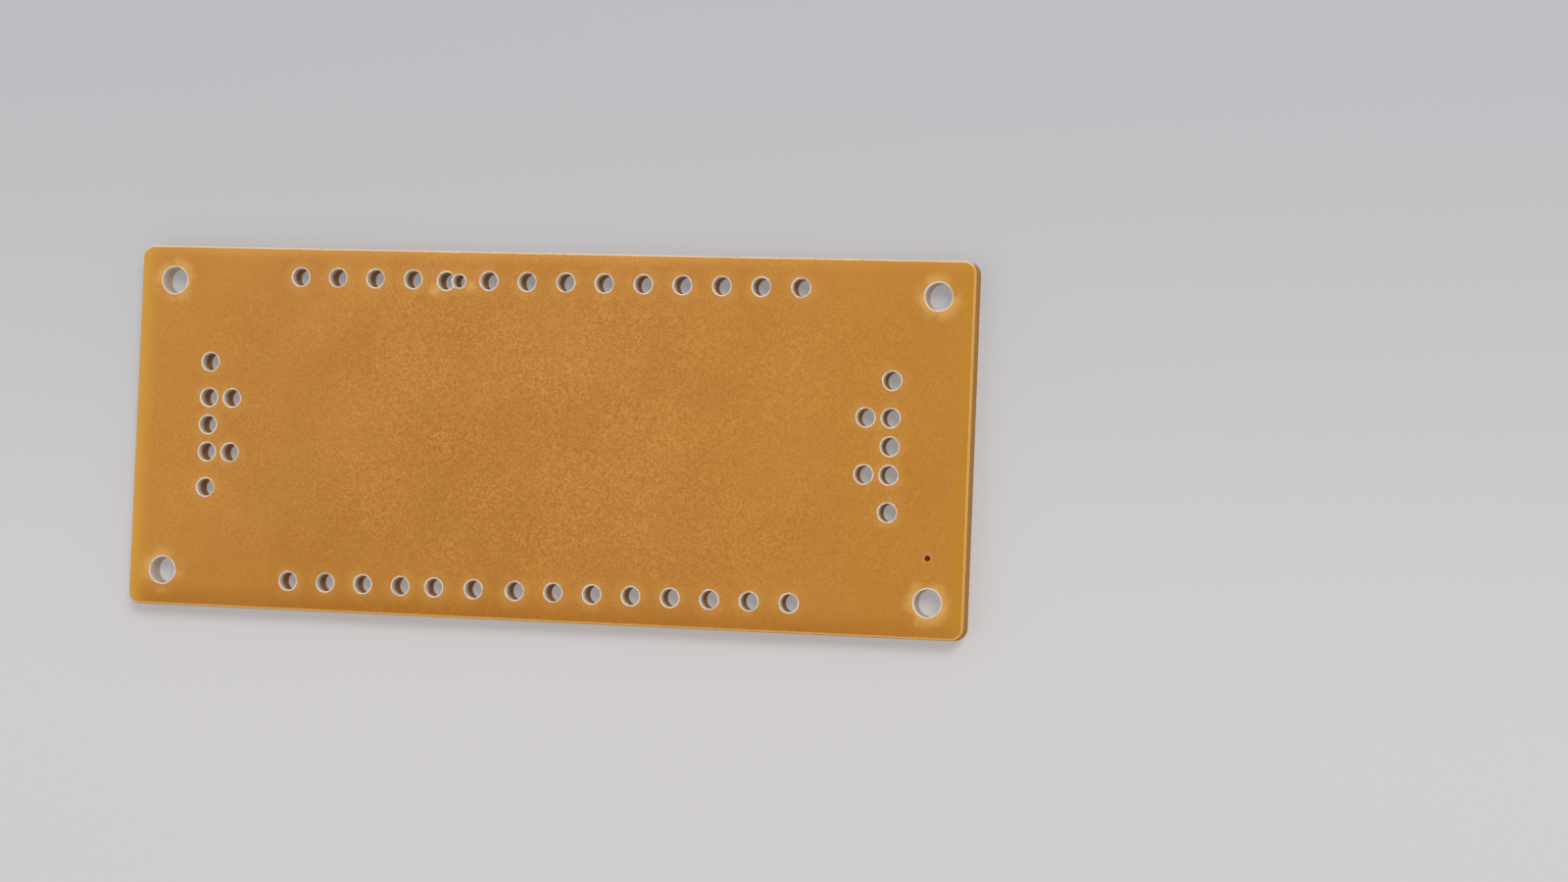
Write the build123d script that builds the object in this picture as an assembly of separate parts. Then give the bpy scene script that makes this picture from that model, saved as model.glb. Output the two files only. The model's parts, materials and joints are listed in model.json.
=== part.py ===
from build123d import *
from collections import namedtuple
import os

# A small single-sided circuit board. The body is a drilled sheet of paper phenolic laminate, and
# each separate stretch of etched copper foil on its underside is a piece of its own. The board lies
# flat with the component face up. The origin is at the middle of the underside, with X along the
# length and Y across the width. All sizes are in millimetres.

# Laminate
board_length = 55.0
board_width = 23.2
board_thickness = 1.6  # laminate and foil together
corner_radius = 0.8
edge_break = 0.15  # bevel worn along the cut edges

# Corner mounting holes
mount_hole_diameter = 1.7
mount_inset_x = 2.3  # from the short edges
mount_inset_y = 2.24  # from the long edges

# Lead holes in two rows along the long edges
lead_hole_diameter = 1.12
row_pitch = 2.54
row_count = 14
row_inset = 1.87  # from the long edges

# Two neighbours in the bottom row where the drill wandered along the row
wander_index = 4
wander_first_shift_x = -0.29
wander_second_shift_x = -0.19

# The top-row position that was drilled twice, with a thinner drill the second time
double_row_index = 4
double_first_shift_x = -0.31  # from the row's pitch
double_second_shift_x = 0.55
double_shift_y = -0.06
double_second_diameter = 0.82
double_web = 0.11  # wall of paper that the second hole keeps where it meets the first

# Terminal holes at each end: a column of five with two more beside it
terminal_inset = 5.02  # from the short edge to the column
terminal_shift_y = 0.1  # from the board's middle line to the middle hole
terminal_inner_step = 1.58  # from the column to the two holes on its inner side
terminal_near_step = 1.75  # from the middle hole to its neighbours
terminal_far_step = 2.29  # from there to the ends of the column

# Centre-punch mark beside the mounting hole at the bottom right
punch_shift_x = -0.09
punch_shift_y = 2.72
punch_diameter = 0.36
punch_depth = 0.3

# Copper foil
foil_thickness = 0.07
annular_ring = 0.35  # copper kept round a lead hole
track_width = 1.3
bus_width = 2.4
terminal_plate_margin = 0.9  # copper past the hole centres of a terminal group
terminal_plate_cut = 0.8  # corner cuts of the terminal plates
border_inset = 0.25
border_width = 0.4
border_corner_cut = 0.8  # widens the border at its inner corners
lead_bend_share = 0.5  # part of the way from a row to a terminal that runs at 45 degrees
return_run_share = 0.45  # where the long run lies, on the way from the bottom terminals to the bottom row
return_straight = 3.4  # straight run of the return track beside a terminal

DrilledHole = namedtuple("DrilledHole", "x y diameter web", defaults=[0])


# Where the holes are
def row_holes(y, shifts_x):
    """The holes of one row from left to right, on an even pitch but for the shifts given by index."""
    first_x = -row_pitch * (row_count - 1) / 2
    xs = [first_x + i * row_pitch + shifts_x.get(i, 0) for i in range(row_count)]
    return [DrilledHole(x, y, lead_hole_diameter) for x in xs]


def double_holes(hole):
    """The two tries at one row position: the second keeps a thin wall where it breaks into the first."""
    y = hole.y + double_shift_y
    first = DrilledHole(hole.x + double_first_shift_x, y, lead_hole_diameter)
    second = DrilledHole(hole.x + double_second_shift_x, y, double_second_diameter, double_web)
    return [first, second]


def terminal_holes(side):
    """The top hole, the five of the inner group and the bottom hole at one end, side -1 left or 1 right."""
    column_x = side * (board_length / 2 - terminal_inset)
    inner_x = column_x - side * terminal_inner_step
    near = terminal_near_step
    far = near + terminal_far_step
    group = [(column_x, 0), (column_x, near), (column_x, -near), (inner_x, near), (inner_x, -near)]
    top, *middle, bottom = [
        DrilledHole(x, y + terminal_shift_y, lead_hole_diameter)
        for x, y in [(column_x, far), *group, (column_x, -far)]
    ]
    return top, middle, bottom


row_y = board_width / 2 - row_inset
mount_x = board_length / 2 - mount_inset_x
mount_y = board_width / 2 - mount_inset_y
wander_shifts_x = {wander_index: wander_first_shift_x, wander_index + 1: wander_second_shift_x}
top_row = row_holes(row_y, {})
bottom_row = row_holes(-row_y, wander_shifts_x)
left_top, left_group, left_bottom = terminal_holes(-1)
right_top, right_group, right_bottom = terminal_holes(1)
mount_holes = [DrilledHole(i * mount_x, j * mount_y, mount_hole_diameter) for i in (-1, 1) for j in (-1, 1)]

# Each row position as the list of holes drilled there
top_places = [[hole] for hole in top_row]
top_places[double_row_index] = double_holes(top_row[double_row_index])
bottom_places = [[hole] for hole in bottom_row]

lead_holes = [hole for place in top_places + bottom_places for hole in place]
lead_holes += [left_top, *left_group, left_bottom, right_top, *right_group, right_bottom]


# The laminate
def base_laminate():
    """The sheet with rounded corners, broken edges, every hole and the punch mark."""
    with BuildPart() as sheet:
        with BuildSketch(Plane.XY.offset(foil_thickness)):
            RectangleRounded(board_length, board_width, corner_radius)
            drill(mount_holes + lead_holes)
        extrude(amount=board_thickness - foil_thickness)
        for face in sheet.faces().filter_by(Axis.Z):
            chamfer(face.outer_wire().edges(), edge_break)
        with Locations((mount_x + punch_shift_x, -mount_y + punch_shift_y, board_thickness)):
            from_mouth = (Align.CENTER, Align.CENTER, Align.MAX)
            Cone(0, punch_diameter / 2, punch_depth, align=from_mouth, mode=Mode.SUBTRACT)
    return sheet.part


def drill(holes):
    """Cuts the holes out of the sketch that is being drawn, and leaves the wall round a hole that has one."""
    for hole in holes:
        with Locations((hole.x, hole.y)):
            if hole.web:
                Circle(hole.diameter / 2 + hole.web)
            Circle(hole.diameter / 2, mode=Mode.SUBTRACT)


# The copper foil
def foil_piece(holes, path, width=track_width, plate_groups=()):
    """One stretch of foil: a track along the path, with plates and round pads, drilled at the pads."""
    with BuildPart() as piece:
        with BuildSketch():
            with BuildLine():
                Polyline(*path)
            trace(line_width=width)
            for group in plate_groups:
                add(terminal_plate(group))
            for hole in holes:
                with Locations((hole.x, hole.y)):
                    Circle(hole.diameter / 2 + annular_ring)
            drill(holes)
        extrude(amount=foil_thickness)
    return piece.part


def terminal_plate(group):
    """The outline of a plate with cut corners that takes in all the holes of a terminal group."""
    xs = [hole.x for hole in group]
    ys = [hole.y for hole in group]
    with BuildSketch() as plate:
        with Locations(((max(xs) + min(xs)) / 2, (max(ys) + min(ys)) / 2)):
            Rectangle(
                max(xs) - min(xs) + 2 * terminal_plate_margin,
                max(ys) - min(ys) + 2 * terminal_plate_margin,
            )
        chamfer(plate.vertices(), terminal_plate_cut)
    return plate.sketch


def row_link(first, second):
    """A short bar that joins two neighbouring row positions."""
    start, end = first[0], second[-1]
    return foil_piece(first + second, [(start.x, start.y), (end.x, end.y)])


def lead_track(row_hole, terminal):
    """From the end of the top row to the top terminal, with one step at 45 degrees."""
    across = terminal.x - row_hole.x
    down = row_hole.y - terminal.y
    bend = lead_bend_share * min(abs(across), down)
    toward = 1 if across > 0 else -1
    path = [
        (row_hole.x, row_hole.y),
        (terminal.x - toward * bend, row_hole.y),
        (terminal.x, row_hole.y - bend),
        (terminal.x, terminal.y),
    ]
    return foil_piece([row_hole, terminal], path)


def return_track():
    """Joins the two bottom terminals by way of a long run below the bus."""
    bend = return_run_share * (row_y + left_bottom.y)
    left_step_x = left_bottom.x + return_straight
    right_step_x = right_bottom.x - return_straight
    path = [
        (left_bottom.x, left_bottom.y),
        (left_step_x, left_bottom.y),
        (left_step_x + bend, left_bottom.y - bend),
        (right_step_x - bend, right_bottom.y - bend),
        (right_step_x, right_bottom.y),
        (right_bottom.x, right_bottom.y),
    ]
    return foil_piece([left_bottom, right_bottom], path)


def main_bus():
    """The wide bus between the middles of the two terminal groups."""
    path = [(left_group[0].x, left_group[0].y), (right_group[0].x, right_group[0].y)]
    return foil_piece(left_group + right_group, path, bus_width, (left_group, right_group))


def border_track():
    """The narrow closed track that follows the board's outline."""
    outer_length = board_length - 2 * border_inset
    outer_width = board_width - 2 * border_inset
    with BuildSketch() as inside:
        Rectangle(outer_length - 2 * border_width, outer_width - 2 * border_width)
        chamfer(inside.vertices(), border_corner_cut)
    with BuildPart() as border:
        with BuildSketch():
            RectangleRounded(outer_length, outer_width, corner_radius)
            add(inside.sketch, mode=Mode.SUBTRACT)
        extrude(amount=foil_thickness)
    return border.part


# Every piece under its own name
pieces = {
    "base_laminate": base_laminate(),
    "border_track": border_track(),
    "main_bus": main_bus(),
    "return_track": return_track(),
    "left_lead_track": lead_track(top_row[0], left_top),
    "right_lead_track": lead_track(top_row[-1], right_top),
}
# Each element of the circuit spans from row to row, so links that alternate join them in one chain
for number, i in enumerate(range(1, row_count - 1, 2), start=1):
    pieces[f"top_link_{number}"] = row_link(top_places[i], top_places[i + 1])
for number, i in enumerate(range(0, row_count, 2), start=1):
    pieces[f"bottom_link_{number}"] = row_link(bottom_places[i], bottom_places[i + 1])

os.makedirs("parts", exist_ok=True)
for name, piece in pieces.items():
    export_step(piece, f"parts/{name}.step")
    print(f"{name}: {piece.volume:.3f} mm3")
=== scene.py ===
# %% [markdown]
# # A bare circuit board of paper phenolic
# The object is a small single-sided circuit board before any part is fitted. A sheet of pressed paper and
# resin carries two rows and two clusters of drilled holes, and the copper on its underside is etched into
# tracks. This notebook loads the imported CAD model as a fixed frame, then adds what the solids leave out:
# the crushed rims of the holes, the worn arrises, the plies in the cut edges, and the finishes.
# Everything is in metres, in the frame of the CAD model: the board lies flat with X along its length, Y
# across its width and its plain face up.

# %% Load the CAD frame
import json
import math
from collections import namedtuple

import bmesh
import bpy
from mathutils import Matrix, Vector, noise


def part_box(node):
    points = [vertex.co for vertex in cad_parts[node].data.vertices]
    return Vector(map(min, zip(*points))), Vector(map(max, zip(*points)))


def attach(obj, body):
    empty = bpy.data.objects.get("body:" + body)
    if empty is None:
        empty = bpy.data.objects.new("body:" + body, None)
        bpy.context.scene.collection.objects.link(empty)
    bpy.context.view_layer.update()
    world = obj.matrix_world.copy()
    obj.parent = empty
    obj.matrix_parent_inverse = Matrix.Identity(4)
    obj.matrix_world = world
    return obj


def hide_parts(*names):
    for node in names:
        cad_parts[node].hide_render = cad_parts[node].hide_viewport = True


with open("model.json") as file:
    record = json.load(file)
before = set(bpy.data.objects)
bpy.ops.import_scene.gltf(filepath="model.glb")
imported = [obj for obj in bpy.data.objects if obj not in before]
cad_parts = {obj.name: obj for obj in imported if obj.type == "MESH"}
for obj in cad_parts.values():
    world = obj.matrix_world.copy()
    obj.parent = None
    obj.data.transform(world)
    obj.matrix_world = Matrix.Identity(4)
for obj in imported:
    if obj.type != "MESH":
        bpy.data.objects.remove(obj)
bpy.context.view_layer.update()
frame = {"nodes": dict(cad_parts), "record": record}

# %% [markdown]
# ## The camera
# The picture looks down on the face from the right of its middle. Such a view can be found by eye, but
# the holes give something better: each is a point whose place on the board is known, so the camera was
# solved from where they appear in the picture. How much of the bore walls shows then told the lens, a
# long one of 80 mm. It has no shift and no blur, so that other views can reuse it.

# %% Place the camera
camera_place = (0.068982, -0.005658, 0.209618)
camera_turn_degrees = (2.1513, 14.2649, 2.3414)
camera_lens = 80.0
camera_sensor = 36.0
camera_nearest = 0.005
camera_farthest = 20.0
camera_data = bpy.data.cameras.new("camera")
camera_data.lens = camera_lens
camera_data.sensor_width = camera_sensor
camera_data.clip_start = camera_nearest
camera_data.clip_end = camera_farthest
camera = bpy.data.objects.new("camera", camera_data)
camera.location = camera_place
camera.rotation_euler = [math.radians(angle) for angle in camera_turn_degrees]
bpy.context.scene.collection.objects.link(camera)
bpy.context.scene.camera = camera
bpy.context.scene.view_settings.view_transform = "Standard"
print("Camera", round(camera.location.length, 3), "m from the middle of the board")

# %% [markdown]
# ## Helpers for shader nodes
# A material is a small program drawn as boxes and wires. Wiring every box by hand takes many lines, so
# four helpers do it: one adds any node and fills its inputs, one does sums, one makes a soft step from a
# value, and one mixes two colours by a mask. Colours are written as they are read off a screen, and
# turned into the linear values that the renderer works with.


# %% Node helpers
def add_node(tree, kind, feeds=None, **options):
    """Adds a shader node, sets its options, and fills its inputs with values or other nodes' outputs."""
    node = tree.nodes.new("ShaderNode" + kind)
    for name, value in options.items():
        setattr(node, name, value)
    for key, value in (feeds or {}).items():
        if isinstance(value, bpy.types.NodeSocket):
            tree.links.new(value, node.inputs[key])
        else:
            node.inputs[key].default_value = value
    return node


def calc(tree, operation, *values):
    """One sum on values or outputs."""
    return add_node(tree, "Math", dict(enumerate(values)), operation=operation).outputs[0]


def soft_step(tree, value, start, end, low=0.0, high=1.0):
    """Low where the value is at start, high where it is at end, and smooth between."""
    feeds = {"Value": value, "From Min": start, "From Max": end, "To Min": low, "To Max": high}
    return add_node(tree, "MapRange", feeds, interpolation_type="SMOOTHSTEP").outputs[0]


def paint_over(tree, mask, below, above, mode="MIX"):
    """The colour above laid over the colour below where the mask is 1."""
    return add_node(tree, "Mix", {0: mask, 6: below, 7: above}, data_type="RGBA", blend_type=mode).outputs[2]


def screen_colour(red, green, blue):
    """A colour read off a screen, 0 to 255, as linear values."""
    shares = [value / 255 for value in (red, green, blue)]
    linear = [s / 12.92 if s <= 0.04045 else ((s + 0.055) / 1.055) ** 2.4 for s in shares]
    return (*linear, 1.0)


print("A screen grey of 188 is", round(screen_colour(188, 188, 188)[0], 3), "in linear light")

# %% [markdown]
# ## Floor, world and lamps
# The board lies on a plain pale floor. Light comes from a large soft lamp beyond the far right corner,
# which brightens the far and right arrises as in the picture, and the world fills the rest. Together they
# light a flat white card to about 1, so a colour comes out about as it is written. The floor could be
# made pale with more light, but that would wash out the board too. So part of its brightness is its own,
# for rays from the camera and for reflections only, and the rest is lit, which keeps the board's shadow.
# The floor would also hide the copper from a camera below it and keep all light off it, so it is clear
# from that side, and what the board takes in or mirrors comes past it from the world. It lies a hair
# below the copper, because two surfaces in one plane fight for every pixel. Far from the board it fades
# into the colour of the room, so that no line shows where it ends.


# %% Floor and world
def rays_that_see(tree):
    """1 for rays from the camera and for mirrored or see-through rays, 0 for light that surfaces spread."""
    path = add_node(tree, "LightPath").outputs
    seen = calc(tree, "MAXIMUM", path["Is Camera Ray"], path["Is Glossy Ray"])
    return calc(tree, "MAXIMUM", seen, path["Is Transmission Ray"])


def pale_floor():
    """A floor that falls off softly from near to far, shines partly by itself, and is clear from below."""
    material = bpy.data.materials.new("pale floor")
    material.use_nodes = True
    tree = material.node_tree
    tree.nodes.clear()
    position = add_node(tree, "TexCoord").outputs["Object"]
    across = add_node(tree, "SeparateXYZ", {0: position}).outputs["Y"]
    far_share = soft_step(tree, across, floor_near_y, floor_far_y)
    colour = paint_over(tree, far_share, floor_near_colour, floor_far_colour)
    away = add_node(tree, "VectorMath", {0: position}, operation="LENGTH").outputs["Value"]
    far_off = soft_step(tree, away, floor_fade_start, floor_fade_end)
    colour = paint_over(tree, far_off, colour, world_seen_colour)
    own_share = soft_step(tree, away, floor_fade_start, floor_fade_end, floor_own_share, 1.0)
    lit = add_node(tree, "BsdfDiffuse", {"Color": colour}).outputs[0]
    shining = add_node(tree, "Emission", {"Color": colour, "Strength": 1.0}).outputs[0]
    share = calc(tree, "MULTIPLY", rays_that_see(tree), own_share)
    mixed = add_node(tree, "MixShader", {0: share, 1: lit, 2: shining}).outputs[0]
    from_below = add_node(tree, "NewGeometry").outputs["Backfacing"]
    clear = add_node(tree, "BsdfTransparent").outputs[0]
    one_sided = add_node(tree, "MixShader", {0: from_below, 1: mixed, 2: clear}).outputs[0]
    add_node(tree, "OutputMaterial", {"Surface": one_sided})
    return material


floor_size = 3.0
floor_drop = 0.00001
floor_own_share = 0.4
floor_near_y = -0.02
floor_far_y = 0.03
floor_fade_start = 0.12
floor_fade_end = 0.6
floor_near_colour = screen_colour(211, 208, 208)
floor_far_colour = screen_colour(190, 191, 194)
world_strength = 0.5
world_seen_colour = screen_colour(196, 197, 199)

bm = bmesh.new()
bmesh.ops.create_grid(bm, x_segments=1, y_segments=1, size=floor_size / 2)
floor_mesh = bpy.data.meshes.new("floor")
bm.to_mesh(floor_mesh)
bm.free()
floor_mesh.materials.append(pale_floor())
floor = bpy.data.objects.new("floor", floor_mesh)
floor.location.z = -floor_drop
floor.visible_diffuse = False
floor.visible_glossy = False
bpy.context.scene.collection.objects.link(floor)

world = bpy.data.worlds.new("soft room")
bpy.context.scene.world = world
world.use_nodes = True
world.node_tree.nodes.clear()
room = add_node(world.node_tree, "Background", {"Color": (1.0, 1.0, 1.0, 1.0), "Strength": world_strength})
seen = add_node(world.node_tree, "Background", {"Color": world_seen_colour, "Strength": 1.0})
both = {0: rays_that_see(world.node_tree), 1: room.outputs[0], 2: seen.outputs[0]}
add_node(world.node_tree, "OutputWorld", {"Surface": add_node(world.node_tree, "MixShader", both).outputs[0]})
print("Floor", floor_size, "m across")


# %% Lamps
def soft_lamp(name, direction, distance, size, card_share):
    """A square lamp aimed at the board, as strong as gives a flat card below it that share of full light."""
    towards = Vector(direction).normalized()
    data = bpy.data.lights.new(name, "AREA")
    data.shape = "SQUARE"
    data.size = size
    data.energy = card_share * (math.pi * distance) ** 2 / towards.z
    lamp = bpy.data.objects.new(name, data)
    lamp.location = towards * distance
    lamp.rotation_euler = towards.to_track_quat("Z", "Y").to_euler()
    bpy.context.scene.collection.objects.link(lamp)
    return lamp


key = soft_lamp("key lamp", direction=(0.34, 0.42, 0.86), distance=0.7, size=0.25, card_share=0.42)
fill = soft_lamp("fill lamp", direction=(-0.5, -0.3, 0.8), distance=0.8, size=0.6, card_share=0.08)
print("Lamps:", [(lamp.name, round(lamp.data.energy, 2)) for lamp in (key, fill)])

# %% [markdown]
# ## Where the holes are
# Copying the hole places out of the drawing would mean keeping two lists in step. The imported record
# already says where screws and leads go, as patterns with a middle and a spacing, so the places are
# unfolded from there. Two patterns may share a hole, and a set keeps it once. One place of the far row is
# in no pattern: it was drilled twice. The first try landed off to the left, and the second, with a
# thinner drill, broke into it and left only a thin web of paper between the two.

# %% Holes from the record's patterns
Hole = namedtuple("Hole", "x y radius")
millimetre = 0.001


def pattern_holes(pattern):
    """Every hole of one pattern, in metres."""
    middle_x, middle_y, _ = pattern["pos_m"]
    sizes = pattern["dims"]
    apart_x, apart_y = (sizes.get(key, 0) * millimetre for key in ("spacing_x_mm", "spacing_y_mm"))
    places = {(middle_x + i * apart_x / 2, middle_y + j * apart_y / 2) for i in (-1, 1) for j in (-1, 1)}
    return [Hole(round(x, 7), round(y, 7), sizes["hole_r_mm"] * millimetre) for x, y in sorted(places)]


patterns = {m["name"]: m for m in frame["record"]["mounts"] if m["kind"] == "bolt_pattern"}
mount_holes = pattern_holes(patterns.pop("mounting_holes"))
lead_holes = sorted({hole for pattern in patterns.values() for hole in pattern_holes(pattern)})

first_try_shift = (-0.00031, -0.00006)
second_try_shift = (0.00055, -0.00006)
second_try_radius = 0.00041
web_width = 0.00011
twin = pattern_holes(patterns["row_leads_5_right"])[-1]
first_try = Hole(-twin.x + first_try_shift[0], twin.y + first_try_shift[1], twin.radius)
second_try = Hole(-twin.x + second_try_shift[0], twin.y + second_try_shift[1], second_try_radius)
print(len(mount_holes), "mounting holes,", len(lead_holes), "lead holes and one place drilled twice")

# %% [markdown]
# ## The laminate
# On the real board the sheet was sawn out and drilled by hand, which leaves worn arrises, crushed paper
# round each hole and slightly ragged edges. One way is to cut the holes with booleans and bevel the
# result, but bevels run badly over the thin triangles that a boolean leaves. Here the edge and every bore
# are made as open walls with their rounding built in, and what is left open, the two faces, is filled in
# between all of them. The edge comes first: a stack of rounded rectangles, bridged from one to the next.

# %% Sizes of the laminate
sheet_low, sheet_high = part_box("base_laminate")
face_z = sheet_high.z
under_z = sheet_low.z
half_length = sheet_high.x
half_width = sheet_high.y
corner_radius = 0.0008
arris_width = 0.00015
mouth_width = 0.00003
mouth_depth = 0.00004
thin_mouth_width = 0.000015
corner_steps = 10
long_cuts = 320
short_cuts = 136
hole_steps = 44
web_steps = 10
ply_count = 7
merge_distance = 1e-7
round_share = 1 - math.sqrt(0.5)
print("Sheet", round((face_z - under_z) / millimetre, 3), "mm thick")


# %% Outline of the sheet
def outline_loop(bm, inset, z):
    """A rounded rectangle drawn in from the sheet's edge by the inset, as a loop of edges."""
    before = set(bm.edges)
    x, y = half_length - inset, half_width - inset
    corners = [bm.verts.new((i * x, j * y, z)) for i, j in ((-1, -1), (1, -1), (1, 1), (-1, 1))]
    bm.faces.new(corners)
    bmesh.ops.bevel(
        bm, geom=corners, offset=corner_radius - inset, offset_type="OFFSET", affect="VERTICES",
        segments=corner_steps, profile=0.5, material=-1,
    )
    bmesh.ops.delete(bm, geom=bm.faces[:], context="FACES_ONLY")
    sides = [e for e in bm.edges if e not in before and e.calc_length() > half_width]
    long_sides = [e for e in sides if e.calc_length() > half_length]
    short_sides = [e for e in sides if e not in long_sides]
    bmesh.ops.subdivide_edges(bm, edges=long_sides, cuts=long_cuts)
    bmesh.ops.subdivide_edges(bm, edges=short_sides, cuts=short_cuts)
    return [e for e in bm.edges if e not in before]


def sheet_edge(bm):
    """The side of the sheet, from one face round the worn arrises to the other face."""
    ply = (face_z - under_z - 2 * arris_width) / ply_count
    levels = [under_z + arris_width + i * ply for i in range(ply_count + 1)]
    worn = arris_width * round_share
    stations = [(arris_width, under_z), (worn, under_z + worn)]
    stations += [(0.0, z) for z in levels]
    stations += [(worn, face_z - worn), (arris_width, face_z)]
    loops = [outline_loop(bm, inset, z) for inset, z in stations]
    for lower, upper in zip(loops, loops[1:]):
        bmesh.ops.bridge_loops(bm, edges=lower + upper)


bm = bmesh.new()
sheet_edge(bm)
print(len(bm.faces), "faces in the edge of the sheet")

# %% [markdown]
# ## Walls of the holes
# A bore could be a cylinder with its ends bevelled, but a line of a few points says the same in less: it
# is spun about the axis and gives the wall, its rounded mouth and a loop at each ply. The place drilled
# twice is the exception. Its second hole is whole and its first is shaped like a letter D, with the web
# as the straight side, so that wall is swept in two parts about two axes, and the seams are merged.

# %% Walls of the holes
full_turn = 2 * math.pi


def sweep_line(bm, places, axis_x, angle, steps):
    """Sweeps a line through the places about an upright axis at that X, and leaves the strip of wall."""
    points = [bm.verts.new(place) for place in places]
    lines = [bm.edges.new(pair) for pair in zip(points, points[1:])]
    bmesh.ops.spin(
        bm, geom=points + lines, cent=(axis_x, 0.0, 0.0), axis=(0.0, 0.0, 1.0), angle=angle,
        steps=steps, use_merge=angle == full_turn,
    )


def finished_wall(bm):
    """Closes the seams of a wall and keeps it as a mesh."""
    bmesh.ops.remove_doubles(bm, verts=bm.verts[:], dist=merge_distance)
    wall = bpy.data.meshes.new("wall")
    bm.to_mesh(wall)
    bm.free()
    return wall


def spun_wall(stations):
    """A wall all the way round, spun from a few points given as a radius and a height."""
    bm = bmesh.new()
    sweep_line(bm, [(radius, 0.0, z) for radius, z in stations], 0.0, full_turn, hole_steps)
    return finished_wall(bm)


def drilled_wall(radius, width, depth):
    """The bore of a hole with a crushed mouth at each face and a loop at each ply."""
    mouth = [(width, 0.0), (width * round_share, depth * round_share), (0.0, depth)]
    ply = (face_z - under_z - 2 * depth) / ply_count
    stations = [(radius + out, face_z - down) for out, down in mouth]
    stations += [(radius, face_z - depth - i * ply) for i in range(1, ply_count)]
    stations += [(radius + out, under_z + up) for out, up in reversed(mouth)]
    return spun_wall(stations)


mount_wall = drilled_wall(mount_holes[0].radius, mouth_width, mouth_depth)
lead_wall = drilled_wall(lead_holes[0].radius, mouth_width, mouth_depth)
print(len(mount_wall.polygons), "faces in the wall of one hole")


# %% Set the walls in the sheet
def broken_wall(hole, neighbour, web):
    """The bore of a hole whose right side is the web that its neighbour left, in plan like a letter D."""
    apart = neighbour.x - hole.x
    web_radius = neighbour.radius + web
    squares = apart**2 + hole.radius**2 - web_radius**2
    hole_half = math.acos(squares / (2 * apart * hole.radius))
    joint_x = hole.radius * math.cos(hole_half)
    joint_y = hole.radius * math.sin(hole_half)
    web_half = math.atan2(joint_y, apart - joint_x)
    ply = (face_z - under_z) / ply_count
    places = [(joint_x, joint_y, face_z - i * ply) for i in range(ply_count + 1)]
    bm = bmesh.new()
    sweep_line(bm, places, 0.0, full_turn - 2 * hole_half, hole_steps)
    sweep_line(bm, places, apart, 2 * web_half, web_steps)
    return finished_wall(bm)


def set_in(bm, wall, hole):
    """Adds a copy of a wall to the sheet, round the hole's own axis."""
    before = set(bm.verts)
    bm.from_mesh(wall)
    bmesh.ops.translate(bm, verts=[v for v in bm.verts if v not in before], vec=(hole.x, hole.y, 0.0))


for hole in mount_holes:
    set_in(bm, mount_wall, hole)
for hole in lead_holes:
    set_in(bm, lead_wall, hole)
set_in(bm, broken_wall(first_try, second_try, web_width), first_try)
set_in(bm, drilled_wall(second_try.radius, thin_mouth_width, thin_mouth_width), second_try)
print(len(bm.faces), "faces in the edge and the bores")

# %% [markdown]
# ## The punch mark
# Beside the mounting hole at the near right corner is a small pit from a centre punch, where no hole was
# drilled. It is spun from two points. The one at the bottom lies on the axis, so the spin makes many
# copies of it, and merging them closes the tip.

# %% Punch mark
punch_shift = (-0.00009, 0.00272)
punch_radius = 0.00018
punch_depth = 0.0003
near_right = mount_holes[-2]
punch = Hole(near_right.x + punch_shift[0], near_right.y + punch_shift[1], punch_radius)
pit = spun_wall([(punch.radius, face_z), (0.0, face_z - punch_depth)])
set_in(bm, pit, punch)
print("Punch mark at", round(punch.x / millimetre, 2), round(punch.y / millimetre, 2), "mm")

# %% [markdown]
# ## Closing and roughening the sheet
# The open loops on each face are filled in one go: triangle fill treats the largest loop as the outline
# and the others as holes. It takes points that are very near each other for one point, so the tiny board
# is enlarged a thousand times for this step. Then a smooth noise moves every point by a few thousandths
# of a millimetre, which makes the rims and arrises slightly ragged, as torn paper is, and a coarser one
# cuts small nicks into the upper arris. Points on the two faces move only sideways, so the faces stay
# flat.

# %% Fill the faces and fray the edges
fray = 0.000012
fray_cell = 0.00018
nick_depth = 0.00006
nick_cell = 0.0007
nick_start = 0.3
edge_reach = 0.0004
flat = merge_distance
enlargement = 1000.0
open_loops = [
    [e for e in bm.edges if e.is_boundary and all(abs(v.co.z - z) < flat for v in e.verts)]
    for z in (face_z, under_z)
]
bmesh.ops.scale(bm, vec=(enlargement,) * 3, verts=bm.verts[:])
for loops in open_loops:
    bmesh.ops.triangle_fill(bm, use_beauty=True, use_dissolve=False, edges=loops)
bmesh.ops.scale(bm, vec=(1 / enlargement,) * 3, verts=bm.verts[:])
for v in bm.verts:
    shift = noise.noise_vector(v.co / fray_cell) * fray
    nick = max(noise.noise(v.co / nick_cell) - nick_start, 0.0) * nick_depth
    if v.co.z > face_z - 2 * arris_width:
        shift.x -= math.copysign(nick, v.co.x) if half_length - abs(v.co.x) < edge_reach else 0.0
        shift.y -= math.copysign(nick, v.co.y) if half_width - abs(v.co.y) < edge_reach else 0.0
    on_face = min(abs(v.co.z - face_z), abs(v.co.z - under_z)) < flat
    v.co += Vector((shift.x, shift.y, 0.0)) if on_face else shift
    v.co.x = min(max(v.co.x, -half_length), half_length)
    v.co.y = min(max(v.co.y, -half_width), half_width)
    v.co.z = min(max(v.co.z, under_z), face_z)
bmesh.ops.recalc_face_normals(bm, faces=bm.faces[:])
print(sum(e.is_boundary for e in bm.edges), "open edges,", len(bm.faces), "faces")

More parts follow.
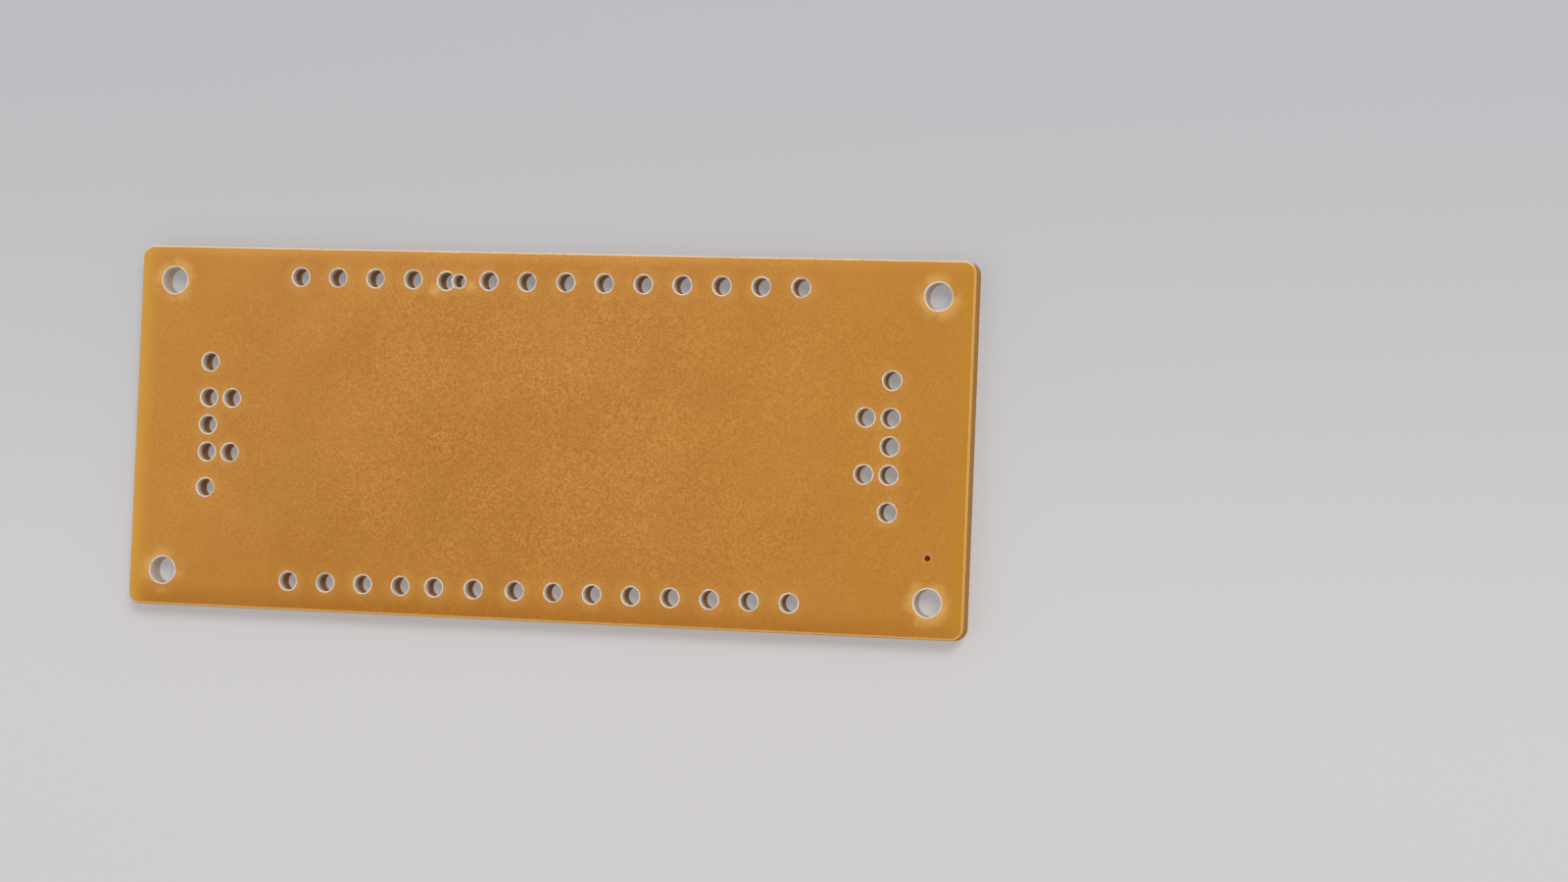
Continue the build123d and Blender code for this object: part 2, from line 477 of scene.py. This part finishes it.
# %% [markdown]
# ## Which finish each face of the sheet takes
# The sheet shows four surfaces: the pressed face, the drilled bores, the sawn edges, and the underside,
# where the copper was etched away. Which is which follows from where a face points and from how near it
# is to the outline, so the slots are set by a rule, not by picking faces. Shading is smooth within a
# finish and sharp between two, so the flat faces stay flat up to their rims.

# %% Finish slots
slot_names = ["pressed face", "drilled bore", "sawn edge", "etched underside"]
upright_limit = 0.98
for f in bm.faces:
    middle = f.calc_center_median()
    near_edge = max(abs(middle.x) - half_length, abs(middle.y) - half_width) > -edge_reach
    if abs(f.normal.z) > upright_limit:
        f.material_index = 0 if f.normal.z > 0 else 3
    else:
        f.material_index = 2 if near_edge else 1
    f.smooth = True
sharp_angle = math.radians(38)
for e in bm.edges:
    one_finish = len({f.material_index for f in e.link_faces}) == 1
    e.smooth = one_finish and e.calc_face_angle(0.0) < sharp_angle
laminate_mesh = bpy.data.meshes.new("laminate")
bm.to_mesh(laminate_mesh)
bm.free()
laminate = bpy.data.objects.new("laminate", laminate_mesh)
bpy.context.scene.collection.objects.link(laminate)
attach(laminate, "root")
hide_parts("base_laminate")
counts = [sum(p.material_index == i for p in laminate_mesh.polygons) for i in range(len(slot_names))]
print(dict(zip(slot_names, counts)))

# %% [markdown]
# ## Paper fibre
# Under the resin is a felt of paper. Close to, it shows as a fine mottle, as short curled threads lighter
# than the rest, as dark specks of bark, and as clouds a few millimetres wide. All of the sheet's finishes
# need it, each in its own measure, so it is one node group with four outputs. The threads come from a
# plain noise: where it crosses its middle value it draws thin curling lines, and a second noise breaks
# those into short pieces.


# %% Paper fibre group
def new_group(name, inputs, outputs):
    """An empty shader group with its sockets, and the two nodes that hold them."""
    group = bpy.data.node_groups.new(name, "ShaderNodeTree")
    for label, kind in inputs.items():
        group.interface.new_socket(label, in_out="INPUT", socket_type="NodeSocket" + kind)
    for label, kind in outputs.items():
        group.interface.new_socket(label, in_out="OUTPUT", socket_type="NodeSocket" + kind)
    return group, group.nodes.new("NodeGroupInput").outputs, group.nodes.new("NodeGroupOutput").inputs


def grain(tree, position, size, detail=2.0, roughness=0.5, distortion=0.0):
    """A noise whose lumps are about the given size across."""
    feeds = {"Vector": position, "Scale": 1 / size, "Detail": detail}
    feeds.update({"Roughness": roughness, "Distortion": distortion})
    return add_node(tree, "TexNoise", feeds).outputs["Fac"]


felt_size = 0.00014
felt_limits = (0.25, 0.75)
thread_size = 0.0002
thread_half_width = 0.06
thread_gap_size = 0.00014
thread_gap_limits = (0.5, 0.6)
speck_size = 0.00014
speck_limits = (0.68, 0.8)
cloud_size = 0.005
paper_fibre, given, made = new_group(
    "paper fibre", {"Position": "Vector"},
    {"Felt": "Float", "Thread": "Float", "Speck": "Float", "Cloud": "Float"},
)
spot = given["Position"]
felt = grain(paper_fibre, spot, felt_size, detail=1.0, roughness=0.7, distortion=0.4)
curl = calc(paper_fibre, "SUBTRACT", grain(paper_fibre, spot, thread_size, distortion=1.2), 0.5)
thread = soft_step(paper_fibre, calc(paper_fibre, "ABSOLUTE", curl), thread_half_width, 0.0)
gaps = soft_step(paper_fibre, grain(paper_fibre, spot, thread_gap_size), *thread_gap_limits)
speck = soft_step(paper_fibre, grain(paper_fibre, spot, speck_size, detail=1.0), *speck_limits)
paper_fibre.links.new(soft_step(paper_fibre, felt, *felt_limits), made["Felt"])
paper_fibre.links.new(calc(paper_fibre, "MULTIPLY", thread, gaps), made["Thread"])
paper_fibre.links.new(speck, made["Speck"])
paper_fibre.links.new(grain(paper_fibre, spot, cloud_size, detail=3.0, roughness=0.6), made["Cloud"])
print("Group:", paper_fibre.name, len(paper_fibre.nodes), "nodes")

# %% [markdown]
# ## How far it is to the nearest hole
# The paper is crushed pale round every hole. A mask for that could be painted, but a drawing of distance
# is exact: for each hole, the distance to its middle less its radius, and of all those the smallest. Most
# holes have a twin across the middle line, so taking the absolute value of X folds the board in half, and
# only the holes of one half are left to measure. The few that have no twin are measured where they are.

# %% Hole distance group
hole_distance, given, made = new_group(
    "hole distance", {"Position": "Vector"}, {"Lead": "Float", "Mount": "Float"},
)


def nearest(tree, position, holes):
    """The distance from the nearest hole's edge, in metres, on the plane of the board."""
    found = None
    drop_height = {0: position, 1: (1.0, 1.0, 0.0)}
    flat_place = add_node(tree, "VectorMath", drop_height, operation="MULTIPLY").outputs[0]
    for hole in holes:
        feeds = {0: flat_place, 1: (hole.x, hole.y, 0.0)}
        to_middle = add_node(tree, "VectorMath", feeds, operation="DISTANCE").outputs["Value"]
        to_edge = calc(tree, "SUBTRACT", to_middle, hole.radius)
        found = to_edge if found is None else calc(tree, "MINIMUM", found, to_edge)
    return found


def has_twin(hole):
    """True where the hole's mirror place across the middle line is drilled as well."""
    return any(abs(h.x + hole.x) < flat and abs(h.y - hole.y) < flat for h in lead_holes)


across = add_node(hole_distance, "VectorMath", {0: given["Position"]}, operation="ABSOLUTE").outputs[0]
folded_x = add_node(hole_distance, "SeparateXYZ", {0: across}).outputs["X"]
true_y = add_node(hole_distance, "SeparateXYZ", {0: given["Position"]}).outputs["Y"]
half_folded = add_node(hole_distance, "CombineXYZ", {"X": folded_x, "Y": true_y}).outputs[0]
paired = [h for h in lead_holes if has_twin(h) and h.x > 0]
lone = [h for h in lead_holes if not has_twin(h)] + [first_try, second_try]
lead_gap = calc(
    hole_distance, "MINIMUM",
    nearest(hole_distance, half_folded, paired), nearest(hole_distance, given["Position"], lone),
)
hole_distance.links.new(lead_gap, made["Lead"])
hole_distance.links.new(nearest(hole_distance, across, mount_holes[-1:]), made["Mount"])
print(len(paired), "pairs of holes and", len(lone), "on their own")

# %% [markdown]
# ## Helpers for the finishes
# Every finish starts alike: an empty material with one shader, fed with the place on the board. The
# Principled shader is enough for paper and for copper. Further helpers place a group, turn a mask into
# relief, weaken a mask, and join soft steps along the board's axes, because much of what sets the picture
# apart from an even sheet is a slow change towards one edge or another.


# %% Finish helpers
def new_finish(name):
    """An empty material with a shader, and its tree, place and shader inputs."""
    material = bpy.data.materials.new(name)
    material.use_nodes = True
    tree = material.node_tree
    tree.nodes.clear()
    shader = add_node(tree, "BsdfPrincipled")
    add_node(tree, "OutputMaterial", {"Surface": shader.outputs[0]})
    return material, tree, add_node(tree, "TexCoord").outputs["Object"], shader.inputs


def use_group(tree, group, position):
    """A group placed in a material, fed with the place on the board."""
    node = tree.nodes.new("ShaderNodeGroup")
    node.node_tree = group
    tree.links.new(position, node.inputs["Position"])
    return node.outputs


def set_bump(tree, shader, height, depth):
    """Feeds a height of 0 to 1 to the shader's normal, as relief of that depth."""
    bump = add_node(tree, "Bump", {"Height": height, "Distance": depth, "Strength": 1.0})
    tree.links.new(bump.outputs[0], shader["Normal"])


def faded(tree, mask, share):
    """A mask at a share of its strength."""
    return calc(tree, "MULTIPLY", mask, share)


def slopes(tree, place, operation, rows):
    """Joins soft steps across the board, each an axis, a start, an end and the values at those."""
    joined = None
    for axis, start, end, low, high in rows:
        step = soft_step(tree, place[axis], start, end, low, high)
        joined = step if joined is None else calc(tree, operation, joined, step)
    return joined


tan_dark = screen_colour(157, 94, 22)
tan_light = screen_colour(216, 153, 73)
tan_rich = screen_colour(189, 126, 30)
# Yellow and olive of the painted glow of light through the translucent paper at the short edges.
glow_yellow = screen_colour(210, 157, 60)
glow_olive = screen_colour(188, 134, 28)
# Crushed paper, also used as a painted highlight in the cream line along the far edge.
crushed_paper_and_highlight = screen_colour(230, 217, 204)
# Pale lifted paper, also used as a painted highlight on the arrises.
lifted_paper_and_highlight = screen_colour(222, 172, 96)
paper_specular = 0.2
print("Lightest tan in linear light:", [round(value, 3) for value in tan_light[:3]])

# %% [markdown]
# ## The pressed face
# This is the face that the picture shows: tan, satin, almost even, with the felt of the paper just
# visible. The mottle could be painted over the colour in layers, but its layers would all shift the mean.
# So they are added up as one tone about a middle value, and the tone then runs from a dark to a light
# tan. The felt shows most in the middle of the board and is pressed flatter towards the edges.

# %% Mottle of the pressed face
felt_gain = 0.38
thread_gain = 0.28
thread_mean = 0.12
speck_gain = 0.3
felt_shows_x = [("X", -0.018, -0.007, 0.6, 1.0), ("X", 0.026, 0.015, 0.9, 1.0)]
felt_pressed_y = 0.0105
felt_open_y = 0.0070
felt_pressed_share = 0.5
cluster_size = 0.0025
pressed_face, tree, position, shader = new_finish("pressed face")
fibre = use_group(tree, paper_fibre, position)
rims = use_group(tree, hole_distance, position)
place = add_node(tree, "SeparateXYZ", {0: position}).outputs
mottle = calc(tree, "MULTIPLY", calc(tree, "SUBTRACT", fibre["Felt"], 0.5), felt_gain)
mottle = calc(tree, "MULTIPLY_ADD", calc(tree, "SUBTRACT", fibre["Thread"], thread_mean), thread_gain, mottle)
mottle = calc(tree, "MULTIPLY_ADD", fibre["Speck"], -speck_gain, mottle)
from_middle = calc(tree, "ABSOLUTE", place["Y"])
pressed = soft_step(tree, from_middle, felt_pressed_y, felt_open_y, felt_pressed_share, 1.0)
clusters = soft_step(tree, grain(tree, position, cluster_size), 0.35, 0.65, 0.75, 1.2)
open_felt = calc(tree, "MULTIPLY", slopes(tree, place, "MULTIPLY", felt_shows_x), pressed)
open_felt = calc(tree, "MULTIPLY", open_felt, clusters)
tone = calc(tree, "MULTIPLY_ADD", mottle, open_felt, 0.5)
print("Mottle:", len(tree.nodes), "nodes")

# %% [markdown]
# ## Slow changes across the face
# Light and resin aren't spread evenly. Painted shade darkens the face towards the near edge, most in a band
# along it, and painted light brightens it towards the far edge, most in a band along it. The resin is richer
# towards the right, and both short edges carry a yellow band, a painted glow of light shining through the
# translucent paper there. Each of these is a soft step along one axis, so they are kept as rows of a table:
# the tone takes their sum, and the richness of the resin and the glow take the largest.

# %% Tone, painted light, shade and glow, and resin of the pressed face
cloud_gain = 0.42
# Rows on Y: painted shade towards and along the near edge, painted light towards and along the far edge.
light_and_tone_slopes = [
    ("Y", -half_width, half_width, -0.06, 0.03),
    ("Y", -half_width + 0.0018, -half_width, 0.0, -0.34),
    ("Y", half_width - 0.0010, half_width, 0.0, 0.3),
    ("X", -0.018, -half_length, 0.0, 0.12),
    ("X", 0.010, 0.020, 0.0, 0.05),
]
rich_slopes = [
    ("X", 0.004, 0.027, 0.0, 0.5),
    ("X", -0.018, -0.026, 0.0, 0.22),
    ("Y", -0.005, -half_width, 0.0, 0.3),
]
# Bands at the short ends: a painted glow of light through the translucent paper at the edges.
left_glow_band = [("X", -half_length + 0.0015, -half_length - 0.0003, 0.0, 0.95)]
right_glow_band = [("X", half_length - 0.0014, half_length - 0.0004, 0.0, 0.5)]
tone = calc(tree, "MULTIPLY_ADD", calc(tree, "SUBTRACT", fibre["Cloud"], 0.5), cloud_gain, tone)
tone = calc(tree, "ADD", tone, slopes(tree, place, "ADD", light_and_tone_slopes))
colour = paint_over(tree, tone, tan_dark, tan_light)
# Richer resin, then the painted glow of the two short-edge bands.
for rows, tint in ((rich_slopes, tan_rich), (left_glow_band, glow_yellow), (right_glow_band, glow_olive)):
    colour = paint_over(tree, slopes(tree, place, "MAXIMUM", rows), colour, tint)
print(len(light_and_tone_slopes), "slopes of tone and", len(rich_slopes), "of resin")

# %% [markdown]
# ## Marks of the drill
# A drill lifts the paper round a hole, which leaves a pale halo, and crushes the very rim, which leaves a
# white line. Beside the place drilled twice there are smears as well. All of it follows the distance from
# the holes. A noise is added to that distance before it becomes a mask, so that no halo is a perfect
# ring, and a second noise takes the halos away in patches.

# %% Halos and rims of the pressed face
patch_size = 0.0014
tear_size = 0.0004
mount_tear = 0.0005
mount_halo_reach = (0.0012, 0.0003)
mount_halo_share = 0.65
lead_halo_reach = (0.0008, 0.0001)
lead_halo_share = 0.2
first_smear_shift = (-0.00075, -0.00062)
second_smear_shift = (0.0008, -0.0003)
smear_tear = 0.0004
smear_reach = (0.0008, 0.0002)
smear_share = 0.7
punch_ring_reach = (0.00012, 0.00004)
punch_ring_share = 0.3
rim_tear = 0.00005
rim_reach = (0.00013, 0.00008)
rim_patch_size = 0.0006
patches = soft_step(tree, grain(tree, position, patch_size), 0.35, 0.6, 0.1, 1.0)
torn = grain(tree, position, tear_size, detail=3.0, roughness=0.6)
mount_gap = calc(tree, "MULTIPLY_ADD", torn, mount_tear, rims["Mount"])
mount_halo = calc(tree, "MULTIPLY", soft_step(tree, mount_gap, *mount_halo_reach), patches)
lead_halo = calc(tree, "MULTIPLY", soft_step(tree, rims["Lead"], *lead_halo_reach), patches)
smear_places = [
    Hole(hole.x + shift_x, hole.y + shift_y, 0.0)
    for hole, (shift_x, shift_y) in ((first_try, first_smear_shift), (second_try, second_smear_shift))
]
smear_gap = calc(tree, "MULTIPLY_ADD", torn, smear_tear, nearest(tree, position, smear_places))
smear = soft_step(tree, smear_gap, *smear_reach)
punch_ring = soft_step(tree, nearest(tree, position, [punch]), *punch_ring_reach)
lifted = (
    (mount_halo, mount_halo_share), (lead_halo, lead_halo_share),
    (smear, smear_share), (punch_ring, punch_ring_share),
)
for mask, share in lifted:
    colour = paint_over(tree, faded(tree, mask, share), colour, lifted_paper_and_highlight)
any_hole = calc(tree, "MINIMUM", rims["Lead"], rims["Mount"])
rim = soft_step(tree, calc(tree, "MULTIPLY_ADD", torn, rim_tear, any_hole), *rim_reach)
rim_patches = soft_step(tree, grain(tree, position, rim_patch_size), 0.35, 0.6, 0.45, 1.0)
colour = paint_over(tree, calc(tree, "MULTIPLY", rim, rim_patches), colour, crushed_paper_and_highlight)
tree.links.new(colour, shader["Base Color"])
print(len(lifted), "kinds of lifted paper")

# %% [markdown]
# ## Gloss and relief of the pressed face
# Resin makes the face satin, and torn paper is dull, so the rims are rougher. The relief of the felt is
# only a hundredth of a millimetre, which a bump gives without any geometry.

# %% Gloss and relief of the pressed face
face_roughness = 0.5
felt_roughness = 0.12
rim_roughness = 0.25
face_relief = 0.00001
rough = calc(tree, "MULTIPLY_ADD", fibre["Felt"], felt_roughness, face_roughness)
tree.links.new(calc(tree, "MULTIPLY_ADD", rim, rim_roughness, rough), shader["Roughness"])
shader["Specular IOR Level"].default_value = paper_specular
set_bump(tree, shader, mottle, face_relief)
print(pressed_face.name, len(tree.nodes), "nodes")

# %% [markdown]
# ## Plies in the cut edges
# The sheet is pressed from several papers, and wherever it is cut they show as fine level lines. The
# bores and the sawn edges both have them, so the lines are a group: a sine of the height, shifted a
# little by noise so that no line is ruled straight.

# %% Ply lines group
ply_pitch = 0.0002
ply_wander_size = 0.0015
ply_wander_angle = 2.5
ply_line_limits = (0.2, 1.0)
plies, given, made = new_group("plies", {"Position": "Vector"}, {"Line": "Float"})
spot = given["Position"]
height = add_node(plies, "SeparateXYZ", {0: spot}).outputs["Z"]
wander = calc(plies, "MULTIPLY", grain(plies, spot, ply_wander_size, detail=3.0), ply_wander_angle)
phase = calc(plies, "MULTIPLY_ADD", height, full_turn / ply_pitch, wander)
plies.links.new(soft_step(plies, calc(plies, "SINE", phase), *ply_line_limits), made["Line"])
print("Group:", plies.name, len(plies.nodes), "nodes")

# %% [markdown]
# ## The sawn edges
# The saw leaves the edge a little darker than the face, with the plies as lines along it. Both arrises
# are painted paler, partly as wear from handling and partly as a painted highlight, and along the far edge
# a thin cream line just below the face is partly crushed paper and partly a painted highlight. Separate
# strips of geometry could carry these, but the height on the board already tells where they are, so they
# are masks by height. What bores and edges share goes into one helper.


# %% Sawn edges
def cut_finish(name, ground, line):
    """A cut through the plies, and its tree, place, fibre, colour and shader inputs."""
    material, tree, position, shader = new_finish(name)
    fibre = use_group(tree, paper_fibre, position)
    lines = use_group(tree, plies, position)["Line"]
    colour = paint_over(tree, faded(tree, lines, cut_line_share), ground, line)
    colour = paint_over(tree, faded(tree, fibre["Felt"], cut_felt_share), colour, tan_light)
    rough = calc(tree, "MULTIPLY_ADD", fibre["Felt"], cut_felt_roughness, cut_roughness)
    tree.links.new(rough, shader["Roughness"])
    shader["Specular IOR Level"].default_value = paper_specular
    set_bump(tree, shader, calc(tree, "SUBTRACT", fibre["Felt"], lines), cut_relief)
    return material, tree, position, fibre, colour, shader


cut_line_share = 0.6
cut_felt_share = 0.25
cut_roughness = 0.6
cut_felt_roughness = 0.2
cut_relief = 0.000004
sawn_tan = screen_colour(184, 126, 52)
sawn_brown = screen_colour(142, 88, 28)
wear_and_highlight_reach = (0.00015, 0.00011)
wear_and_highlight_share = 0.75
far_edge_reach = (half_width - 0.0004, half_width - 0.00025)
cream_tear = 0.000008
cream_top = (0.00001, 0.00005)
cream_bottom = (0.00017, 0.00013)
cream_patch_size = 0.0009
sawn_edge, tree, position, fibre, colour, shader = cut_finish("sawn edge", sawn_tan, sawn_brown)
place = add_node(tree, "SeparateXYZ", {0: position}).outputs
from_face = calc(tree, "SUBTRACT", face_z, place["Z"])
from_either = calc(tree, "MINIMUM", from_face, calc(tree, "SUBTRACT", place["Z"], under_z))
# Pale arrises: partly wear and partly a painted highlight.
worn = soft_step(tree, from_either, *wear_and_highlight_reach)
colour = paint_over(tree, faded(tree, worn, wear_and_highlight_share), colour, lifted_paper_and_highlight)
ragged = calc(tree, "MULTIPLY_ADD", fibre["Felt"], cream_tear, from_face)
# The cream line along the far edge: partly crushed paper, partly a painted highlight.
cream_line = soft_step(tree, place["Y"], *far_edge_reach)
cream_patches = soft_step(tree, grain(tree, position, cream_patch_size), 0.3, 0.6, 0.8, 1.0)
for mask in (soft_step(tree, ragged, *cream_top), cream_patches, soft_step(tree, ragged, *cream_bottom)):
    cream_line = calc(tree, "MULTIPLY", cream_line, mask)
colour = paint_over(tree, cream_line, colour, crushed_paper_and_highlight)
tree.links.new(colour, shader["Base Color"])
print(sawn_edge.name, len(tree.nodes), "nodes")

# %% [markdown]
# ## The bores
# A drill tears the paper at the mouth into a pale ring. Below it a bore is painted pale grey for half its
# depth and then a dark brown. The wide mounting holes are painted pale over most of their walls. The punch
# mark was pressed, not cut, and is painted dark brown all over, a painted shade in its pit. Both could be
# separate materials, but one rule by depth and one by distance from the mark keep them in one.

# %% Drilled bores
bore_grey = screen_colour(210, 198, 184)
bore_brown = screen_colour(146, 102, 38)
bore_ply_brown = screen_colour(118, 80, 26)
# Dark brown painted as shade inside the punch pit.
pit_shade_brown = screen_colour(88, 46, 18)
bore_tear = 0.0002
pale_reach = (0.00085, 0.00045)
mount_pale_reach = (0.0002, 0.0001)
mount_pale_share = 0.7
ring_reach = (0.00022, 0.00012)
lower_mouth_reach = (0.0002, 0.00005)
lower_mouth_share = 0.25
pit_reach = (0.0001, 0.00005)
drilled_bore, tree, position, fibre, colour, shader = cut_finish("drilled bore", bore_brown, bore_ply_brown)
place = add_node(tree, "SeparateXYZ", {0: position}).outputs
from_face = calc(tree, "SUBTRACT", face_z, place["Z"])
from_under = calc(tree, "SUBTRACT", place["Z"], under_z)
from_mount = use_group(tree, hole_distance, position)["Mount"]
ragged = calc(tree, "MULTIPLY_ADD", fibre["Felt"], bore_tear, from_face)
mount_pale = faded(tree, soft_step(tree, from_mount, *mount_pale_reach), mount_pale_share)
lower_mouth = faded(tree, soft_step(tree, from_under, *lower_mouth_reach), lower_mouth_share)
colour = paint_over(tree, soft_step(tree, ragged, *pale_reach), colour, bore_grey)
colour = paint_over(tree, mount_pale, colour, bore_grey)
colour = paint_over(tree, soft_step(tree, ragged, *ring_reach), colour, crushed_paper_and_highlight)
colour = paint_over(tree, lower_mouth, colour, bore_grey)
# The punch pit is painted dark brown all over, as painted shade in the pit.
in_pit = soft_step(tree, nearest(tree, position, [punch]), *pit_reach)
colour = paint_over(tree, in_pit, colour, pit_shade_brown)
tree.links.new(colour, shader["Base Color"])
print(drilled_bore.name, len(tree.nodes), "nodes")

# %% [markdown]
# ## The etched underside
# Where the copper was etched away, the sheet shows a glossier, more orange skin of resin with the paper
# deeper in it. It is the same fibre at a lower strength under a smoother shader, with the same pale rims.

# %% Etched underside
amber = screen_colour(208, 126, 36)
amber_deep = screen_colour(170, 92, 22)
deep_limits = (0.3, 0.7)
deep_share = 0.5
under_felt_share = 0.15
under_rim_reach = (0.00012, 0.00004)
under_rim_share = 0.7
under_roughness = 0.22
under_cloud_roughness = 0.2
under_relief = 0.000004
etched_underside, tree, position, shader = new_finish("etched underside")
fibre = use_group(tree, paper_fibre, position)
rims = use_group(tree, hole_distance, position)
deep = faded(tree, soft_step(tree, fibre["Cloud"], *deep_limits), deep_share)
colour = paint_over(tree, deep, amber, amber_deep)
colour = paint_over(tree, faded(tree, fibre["Felt"], under_felt_share), colour, tan_light)
any_hole = calc(tree, "MINIMUM", rims["Lead"], rims["Mount"])
rim = soft_step(tree, any_hole, *under_rim_reach)
colour = paint_over(tree, faded(tree, rim, under_rim_share), colour, crushed_paper_and_highlight)
tree.links.new(colour, shader["Base Color"])
rough = calc(tree, "MULTIPLY_ADD", fibre["Cloud"], under_cloud_roughness, under_roughness)
tree.links.new(rough, shader["Roughness"])
set_bump(tree, shader, fibre["Felt"], under_relief)
for finish in (pressed_face, drilled_bore, sawn_edge, etched_underside):
    laminate_mesh.materials.append(finish)
print([m.name for m in laminate_mesh.materials])

# %% [markdown]
# ## Etched copper
# The tracks are foil that was rubbed with an abrasive before etching, so the bare copper is pink and
# covered in fine scratches along the board, with darker patches where it has tarnished. The solids are
# already right, so they keep their shape and only take a new finish. The scratches are a noise squeezed
# hard across the board.

# %% Copper tracks
copper_pink = screen_colour(222, 158, 134)
copper_bright = screen_colour(244, 198, 176)
copper_brown = screen_colour(184, 112, 84)
scratch_size = 0.00006
scratch_squeeze = (0.04, 1.0, 1.0)
scratch_limits = (0.52, 0.7)
scratch_share = 0.6
tarnish_size = 0.003
tarnish_limits = (0.45, 0.75)
tarnish_share = 0.7
copper_roughness = 0.22
scratch_roughness = 0.25
tarnish_roughness = 0.2
scratch_relief = 0.000003
etched_copper, tree, position, shader = new_finish("etched copper")
squeeze = add_node(tree, "Mapping", {"Vector": position, "Scale": scratch_squeeze}).outputs[0]
scratch = grain(tree, squeeze, scratch_size, detail=3.0, roughness=0.7)
tarnish = grain(tree, position, tarnish_size, detail=4.0, roughness=0.6, distortion=0.6)
dull = faded(tree, soft_step(tree, tarnish, *tarnish_limits), tarnish_share)
colour = paint_over(tree, dull, copper_pink, copper_brown)
shine = faded(tree, soft_step(tree, scratch, *scratch_limits), scratch_share)
colour = paint_over(tree, shine, colour, copper_bright)
tree.links.new(colour, shader["Base Color"])
shader["Metallic"].default_value = 1.0
rough = calc(tree, "MULTIPLY_ADD", scratch, scratch_roughness, copper_roughness)
tree.links.new(calc(tree, "MULTIPLY_ADD", tarnish, tarnish_roughness, rough), shader["Roughness"])
set_bump(tree, shader, scratch, scratch_relief)
tracks = [node for name, node in frame["nodes"].items() if name != "base_laminate"]
for track in tracks:
    for track_slot in track.material_slots:
        track_slot.material = etched_copper
print(len(tracks), "tracks in", etched_copper.name)
